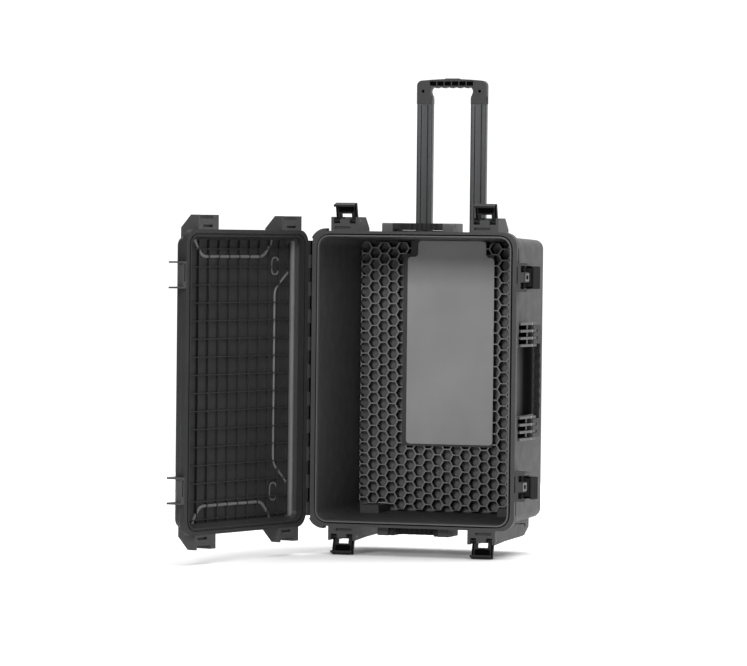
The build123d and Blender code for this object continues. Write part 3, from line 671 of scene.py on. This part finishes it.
def latch_details():
    """Painted shade in the levers' hollows, the bosses' wells and the tongue eyes' holes, with the pale frames of
    the tongue eyes, all of which the plain levers and bosses leave out.
    """
    hole = [((-EYE_HOLE_HALF, EYE_FACE, -23), (EYE_HOLE_HALF, EYE_FACE + 0.15, -9))]
    for name in LATCHES:
        angle = SIDE_LEVER_OPEN if "side" in name else END_LEVER_OPEN
        place = latch_frame(name)
        data = box_mesh(f"lever_shade_{name}", lever_shade_boxes())
        turn = place @ open_swing(angle)
        add_piece(f"lever_shade_{name}", data, f"latch_{name}", "latch_plastic", turn, SHADE_BLACK_PLASTIC)
        data = box_mesh(f"boss_shade_{name}", boss_shade_boxes())
        add_piece(f"boss_shade_{name}", data, "base", "shell_plastic", place, SHADE_BLACK_PLASTIC)
        data = box_mesh(f"tongue_eye_{name}", eye_boxes())
        add_piece(f"tongue_eye_{name}", data, "base", "shell_plastic", place, RING_PLASTIC)
        data = box_mesh(f"tongue_hole_shade_{name}", hole)
        add_piece(f"tongue_hole_shade_{name}", data, "base", "shell_plastic", place, SHADE_BLACK_PLASTIC)


def side_handle_shade():
    """Painted shade under the side handle: a thin plate on the wall, darkest in a band part-way down where the
    handle shades it, and near-black strips in the gaps between its bracket ears.
    """
    shade_plate = box_mesh("side_handle_shade", [((SHADE_PLATE_FACE, -SHADE_PLATE_HALF, 74), (SHADE_PLATE_FACE + 1.1, SHADE_PLATE_HALF, 246))])
    ends = [((SHADE_PLATE_FACE, y, 150), (SHADE_PLATE_FACE + 1.3, y + EAR_GAP, 247))
            for y in (-SHADE_PLATE_HALF - EAR_GAP, SHADE_PLATE_HALF)]
    gaps = box_mesh("bracket_gap_shade", ends)
    lean = Matrix.Identity(4)
    lean[0][2] = WALL_LEAN
    lean[0][3] = -WALL_LEAN * WALL_LEAN_FROM * MM
    add_piece("side_handle_shade", shade_plate, "base", "shell_plastic", STAND @ lean, HANDLE_SHADE_PLASTIC)
    add_piece("bracket_gap_shade", gaps, "base", "shell_plastic", STAND @ lean, SHADE_BLACK_PLASTIC)


# ---------------------------------------------------------------- studio
def studio_floor():
    """A plain pale floor under the lowest point of the case."""
    low = cad_box[0][2]
    mesh = bmesh.new()
    bmesh.ops.create_grid(mesh, x_segments=8, y_segments=8, size=2.4)
    data = bpy.data.meshes.new("floor")
    mesh.to_mesh(data)
    mesh.free()
    floor = bpy.data.objects.new("floor", data)
    floor.location = (0, 0, low - 0.0005)
    bpy.context.scene.collection.objects.link(floor)
    nodes = Nodes("floor")
    tint = nodes.ramp(nodes.noise(0.8, 3.0), [(0.3, 0.90), (0.7, 0.92)])
    nodes.link(tint, nodes.shader.inputs["Base Color"])
    nodes.shader.inputs["Roughness"].default_value = 0.9
    floor.data.materials.append(nodes.material)


def soft_light(name, place, target, size, power):
    """One large soft box."""
    data = bpy.data.lights.new(name, "AREA")
    data.shape = "RECTANGLE"
    data.size = size[0]
    data.size_y = size[1]
    data.energy = power
    light = bpy.data.objects.new(name, data)
    light.location = place
    direction = Vector(target) - Vector(place)
    light.rotation_euler = direction.to_track_quat("-Z", "Y").to_euler()
    bpy.context.scene.collection.objects.link(light)


def studio_world():
    """An even surround that is brightest behind and to the right, and dimmer in front."""
    world = bpy.data.worlds.new("studio")
    world.use_nodes = True
    tree = world.node_tree
    coords = tree.nodes.new("ShaderNodeTexCoord")
    facing = tree.nodes.new("ShaderNodeVectorMath")
    facing.operation = "DOT_PRODUCT"
    facing.inputs[1].default_value = Vector(BRIGHT_SIDE).normalized()
    ramp = tree.nodes.new("ShaderNodeMapRange")
    ramp.interpolation_type = "SMOOTHSTEP"
    ramp.inputs["From Min"].default_value = -0.35
    ramp.inputs["From Max"].default_value = 0.32
    ramp.inputs["To Min"].default_value = WORLD_DIM
    ramp.inputs["To Max"].default_value = WORLD_BRIGHT
    tree.links.new(coords.outputs["Generated"], facing.inputs[0])
    tree.links.new(facing.outputs["Value"], ramp.inputs["Value"])
    tree.links.new(ramp.outputs["Result"], tree.nodes["Background"].inputs["Strength"])
    tree.nodes["Background"].inputs["Color"].default_value = (1.0, 1.0, 1.0, 1.0)
    bpy.context.scene.world = world
    bpy.context.scene.view_settings.view_transform = "Standard"


def studio_light():
    """The surround, a soft box high above, and a narrower one that looks into the tub."""
    studio_world()
    centre = (0.0, -0.1, 0.0)
    soft_light("top_box", (0.6, 1.0, 4.6), centre, (5.0, 5.0), 300)
    soft_light("front_box", (-0.2, -4.4, 1.5), centre, (1.0, 1.0), 95)


def rim_centre():
    """The middle of the opening, which the camera's place is worked out from."""
    low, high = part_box("base_rim")
    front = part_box("latch_bosses")[0][1]
    return Vector((0.0, front, (low[2] + high[2]) / 2))


def camera():
    """A long lens, a little to the right of the opening and just above it."""
    turn = math.radians(CAMERA_TURN)
    rise = math.radians(CAMERA_RISE)
    back = Vector((math.sin(turn) * math.cos(rise), -math.cos(turn) * math.cos(rise), math.sin(rise)))
    across = Vector((math.cos(turn), math.sin(turn), 0.0))
    up = back.cross(across)
    place = rim_centre() + CAMERA_DISTANCE * back
    aim = rim_centre() + AIM_ACROSS * across + AIM_UP * up
    data = bpy.data.cameras.new("camera")
    data.lens = CAMERA_LENS
    data.sensor_width = 36.0
    data.clip_end = 100.0
    view = bpy.data.objects.new("camera", data)
    look = (aim - place).to_track_quat("-Z", "Y").to_matrix().to_4x4()
    view.matrix_world = Matrix.Translation(place) @ look @ Matrix.Rotation(math.radians(CAMERA_ROLL), 4, "Z")
    bpy.context.scene.collection.objects.link(view)
    bpy.context.scene.camera = view


dress_cad_nodes()
well_panel()
lid_beads()
grip()
grip_screw_shades()
tube_groove_shade()
rim_lines()
latch_details()
side_handle_shade()
studio_floor()
studio_light()
camera()
